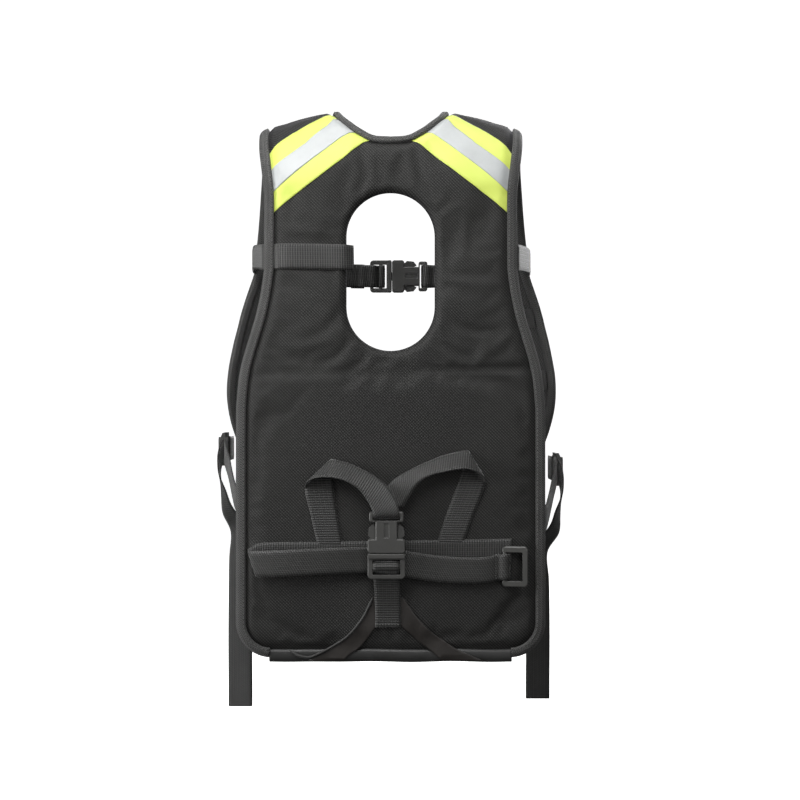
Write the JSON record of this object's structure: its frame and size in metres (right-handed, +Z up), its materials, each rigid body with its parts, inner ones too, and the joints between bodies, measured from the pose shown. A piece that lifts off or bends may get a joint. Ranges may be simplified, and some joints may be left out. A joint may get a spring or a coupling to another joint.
{
  "type": "breathing apparatus carrying vest",
  "caption": "Padded black carrying vest of a breathing apparatus, with an oval back opening, high-visibility shoulder tapes, chest buckle, side sliders and a buckled holder harness.",
  "frame": {"origin": "the nape: the middle of the neckline, on the plane of the face that rests on the wearer", "axes": "+Z up, +X to the wearer's right, +Y the way the wearer faces"},
  "size_m": [0.3564, 0.235, 0.6161],
  "materials": {
    "cover": "coarse dotted nylon weave, slight sheen",
    "lining": "smooth mesh lining",
    "foam": "closed-cell foam",
    "stiffener": "thin flexible sheet",
    "binding": "herringbone tape",
    "webbing": "ribbed polyamide webbing",
    "hivis": "fluorescent yellow, satin",
    "silver": "retroreflective, fine grain",
    "coated": "smooth coated fabric, semi-gloss",
    "buckle": "moulded plastic, satin",
    "ring": "moulded plastic, glossy"
  },
  "bodies": {
    "vest": {"armhole_binding_left": "binding", "armhole_binding_right": "binding", "back_binding_left": "binding", "back_binding_right": "binding", "back_cover": "cover", "back_lining": "lining", "bottom_strip": "coated", "chest_socket": "buckle", "chest_strap_left": "webbing", "chest_strap_right": "webbing", "front_binding_left": "binding", "front_binding_right": "binding", "front_panel_left": "cover", "front_panel_right": "cover", "front_strap_left": "cover", "front_strap_right": "cover", "hivis_tape_left": "hivis", "hivis_tape_right": "hivis", "holder_socket": "buckle", "holder_strap_left": "webbing", "holder_strap_right": "webbing", "holder_webbing": "webbing", "lower_foam_pad": "foam", "neck_binding": "binding", "shoulder_cover_left": "cover", "shoulder_cover_right": "cover", "shoulder_foam_left": "foam", "shoulder_foam_right": "foam", "shoulder_lining_left": "lining", "shoulder_lining_right": "lining", "side_band_left": "webbing", "side_band_right": "webbing", "side_strap_left": "webbing", "side_strap_right": "webbing", "silver_tape_left": "silver", "silver_tape_right": "silver", "slider_loop_left": "webbing", "slider_loop_right": "webbing", "stiffener_sheet": "stiffener", "strap_tail_left": "webbing", "strap_tail_right": "webbing", "upper_foam_pad": "foam", "waist_strap_back": "webbing", "waist_strap_front": "webbing", "yoke": "coated"},
    "chest_plug": {"chest_plug": "buckle", "chest_keeper": "coated"},
    "chest_prong_upper": {"chest_prong_upper": "buckle"},
    "chest_prong_lower": {"chest_prong_lower": "buckle"},
    "holder_plug": {"holder_plug": "buckle"},
    "holder_prong_left": {"holder_prong_left": "buckle"},
    "holder_prong_right": {"holder_prong_right": "buckle"},
    "slider_left": {"slider_left": "buckle"},
    "slider_right": {"slider_right": "buckle"},
    "waist_ring": {"waist_ring": "ring"},
    "stow_band": {"stow_band": "webbing"}
  },
  "joints": [
    {"name": "chest_release", "type": "slide", "parent": "vest", "child": "chest_plug", "axis": [-1, 0, 0], "range_m": [0, 0.025], "deforming": ["chest_strap_left"]},
    {"name": "chest_squeeze_upper", "type": "hinge", "parent": "chest_plug", "child": "chest_prong_upper", "pos_m": [0.0019, 0.19, -0.1072], "axis": [0, 1, 0], "range_deg": [0, 6]},
    {"name": "chest_squeeze_lower", "type": "hinge", "parent": "chest_plug", "child": "chest_prong_lower", "pos_m": [0.0019, 0.19, -0.1328], "axis": [0, 1, 0], "range_deg": [-6, 0]},
    {"name": "holder_release", "type": "slide", "parent": "vest", "child": "holder_plug", "axis": [0, 0, -1], "range_m": [0, 0.025], "deforming": ["holder_webbing"]},
    {"name": "holder_squeeze_left", "type": "hinge", "parent": "holder_plug", "child": "holder_prong_left", "pos_m": [-0.0166, -0.034, -0.4038], "axis": [0, 1, 0], "range_deg": [0, 6]},
    {"name": "holder_squeeze_right", "type": "hinge", "parent": "holder_plug", "child": "holder_prong_right", "pos_m": [0.009, -0.034, -0.4038], "axis": [0, 1, 0], "range_deg": [-6, 0]},
    {"name": "slider_tilt_left", "type": "hinge", "parent": "vest", "child": "slider_left", "pos_m": [-0.1735, 0.098, -0.31], "axis": [0, 0, -1], "range_deg": [0, 40]},
    {"name": "slider_tilt_right", "type": "hinge", "parent": "vest", "child": "slider_right", "pos_m": [0.1725, 0.098, -0.331], "axis": [0, 0, 1], "range_deg": [0, 40]},
    {"name": "ring_swing", "type": "hinge", "parent": "vest", "child": "waist_ring", "pos_m": [0.1105, -0.023, -0.4195], "axis": [0, 0, -1], "range_deg": [-12, 70]},
    {"name": "stow_band_lift", "type": "hinge", "parent": "vest", "child": "stow_band", "pos_m": [-0.1123, -0.0174, -0.12], "axis": [0, 0, -1], "range_deg": [0, 55]}
  ],
  "couplings": [
    {"joint": "chest_squeeze_lower", "follows": "chest_squeeze_upper", "ratio": -1},
    {"joint": "holder_squeeze_right", "follows": "holder_squeeze_left", "ratio": -1}
  ]
}
